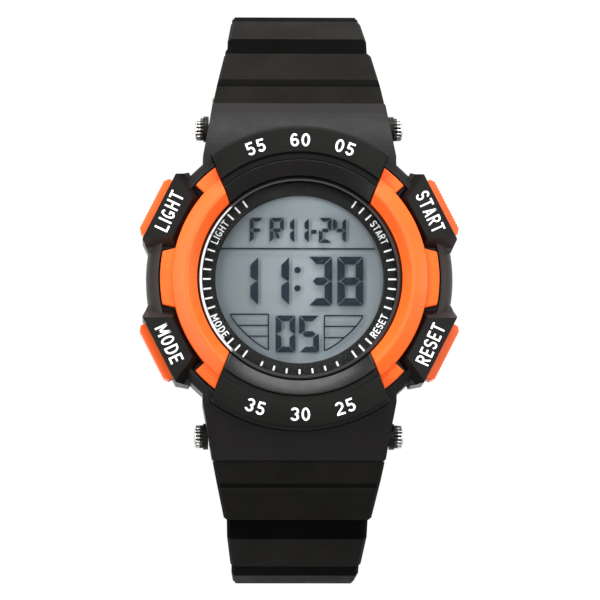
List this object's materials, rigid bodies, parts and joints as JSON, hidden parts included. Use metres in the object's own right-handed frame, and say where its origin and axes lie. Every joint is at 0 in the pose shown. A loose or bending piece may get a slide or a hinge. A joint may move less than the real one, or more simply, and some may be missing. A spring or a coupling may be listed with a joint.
{
  "type": "digital wristwatch",
  "caption": "Round digital sports watch with guarded side buttons, hooded lugs, an accent ring round the display and a scaled resin strap with pin buckle.",
  "frame": {"origin": "centre of the case back's flat outer face", "axes": "+Z out of the display, +Y towards twelve o'clock, +X towards three o'clock"},
  "size_m": [0.0428, 0.0792, 0.0716],
  "materials": {
    "black_resin": "satin moulded black resin",
    "orange_resin": "satin moulded orange resin",
    "black_strap_rubber": "soft satin strap resin",
    "clear_window": "clear polished lens",
    "black_seal_rubber": "matt seal rubber",
    "dial_print_black": "printed matt black",
    "brushed_back_steel": "circular brushed stainless steel",
    "polished_steel": "bright steel",
    "buckle_steel": "satin stainless steel",
    "white_module_plastic": "moulded white plastic",
    "display_glass": "grey display film under glass",
    "backlight_film": "pale backlight film",
    "board_laminate": "green circuit board",
    "black_epoxy": "glossy epoxy",
    "crystal_can": "tinned can",
    "battery_steel": "steel cell can",
    "buzzer_brass": "brass disc"
  },
  "bodies": {
    "case": {"accent_ring": "orange_resin", "backlight_panel": "backlight_film", "battery": "battery_steel", "battery_clip": "polished_steel", "bezel_arch_lower": "black_resin", "bezel_arch_upper": "black_resin", "button_seals": "black_seal_rubber", "button_tubes": "polished_steel", "buzzer_disc": "buzzer_brass", "buzzer_spring": "polished_steel", "case_back": "brushed_back_steel", "case_back_gasket": "black_seal_rubber", "case_back_screws": "polished_steel", "case_body": "black_resin", "chip_blob": "black_epoxy", "circuit_board": "board_laminate", "dial_ring": "dial_print_black", "display_holder": "white_module_plastic", "lcd_panel": "display_glass", "lens": "clear_window", "lens_gasket": "black_seal_rubber", "light_spring": "polished_steel", "lug_pins": "polished_steel", "mode_spring": "polished_steel", "module_frame": "white_module_plastic", "module_screws": "polished_steel", "pin_bushes": "black_resin", "pin_knobs": "polished_steel", "quartz_crystal": "crystal_can", "reset_spring": "polished_steel", "side_contacts": "polished_steel", "start_spring": "polished_steel", "zebra_connectors": "black_seal_rubber"},
    "strap_upper": {"strap_upper": "black_strap_rubber"},
    "strap_lower": {"strap_lower": "black_strap_rubber"},
    "keeper": {"strap_keeper": "black_strap_rubber"},
    "buckle": {"buckle_frame": "buckle_steel", "buckle_pin": "polished_steel"},
    "tongue": {"buckle_tongue": "buckle_steel"},
    "light_button": {"light_cap": "orange_resin", "light_stem": "polished_steel", "light_clip": "polished_steel"},
    "mode_button": {"mode_cap": "orange_resin", "mode_stem": "polished_steel", "mode_clip": "polished_steel"},
    "start_button": {"start_cap": "orange_resin", "start_stem": "polished_steel", "start_clip": "polished_steel"},
    "reset_button": {"reset_cap": "orange_resin", "reset_stem": "polished_steel", "reset_clip": "polished_steel"}
  },
  "joints": [
    {"name": "light_press", "type": "slide", "parent": "case", "child": "light_button", "axis": [0.891, -0.454, 0], "range_m": [0, 0.0006], "stiffness_N_per_m": 900, "deforming": ["light_spring"]},
    {"name": "mode_press", "type": "slide", "parent": "case", "child": "mode_button", "axis": [0.891, 0.454, 0], "range_m": [0, 0.0006], "stiffness_N_per_m": 900, "deforming": ["mode_spring"]},
    {"name": "start_press", "type": "slide", "parent": "case", "child": "start_button", "axis": [-0.891, -0.454, 0], "range_m": [0, 0.0006], "stiffness_N_per_m": 900, "deforming": ["start_spring"]},
    {"name": "reset_press", "type": "slide", "parent": "case", "child": "reset_button", "axis": [-0.891, 0.454, 0], "range_m": [0, 0.0006], "stiffness_N_per_m": 900, "deforming": ["reset_spring"]},
    {"name": "upper_strap_swing", "type": "hinge", "parent": "case", "child": "strap_upper", "pos_m": [0, 0.0208, 0.0036], "axis": [1, 0, 0], "range_deg": [0, 12]},
    {"name": "lower_strap_swing", "type": "hinge", "parent": "case", "child": "strap_lower", "pos_m": [0, -0.0208, 0.0036], "axis": [-1, 0, 0], "range_deg": [0, 12]},
    {"name": "buckle_swing", "type": "hinge", "parent": "strap_upper", "child": "buckle", "pos_m": [0, 0.03066, -0.04823], "axis": [1, 0, 0], "range_deg": [-60, 25]},
    {"name": "tongue_swing", "type": "hinge", "parent": "buckle", "child": "tongue", "pos_m": [0, 0.03066, -0.04823], "axis": [1, 0, 0], "range_deg": [0, 50]},
    {"name": "keeper_slide", "type": "slide", "parent": "strap_upper", "child": "keeper", "axis": [0, -0.342, -0.9397], "range_m": [-0.0045, 0.001]}
  ]
}
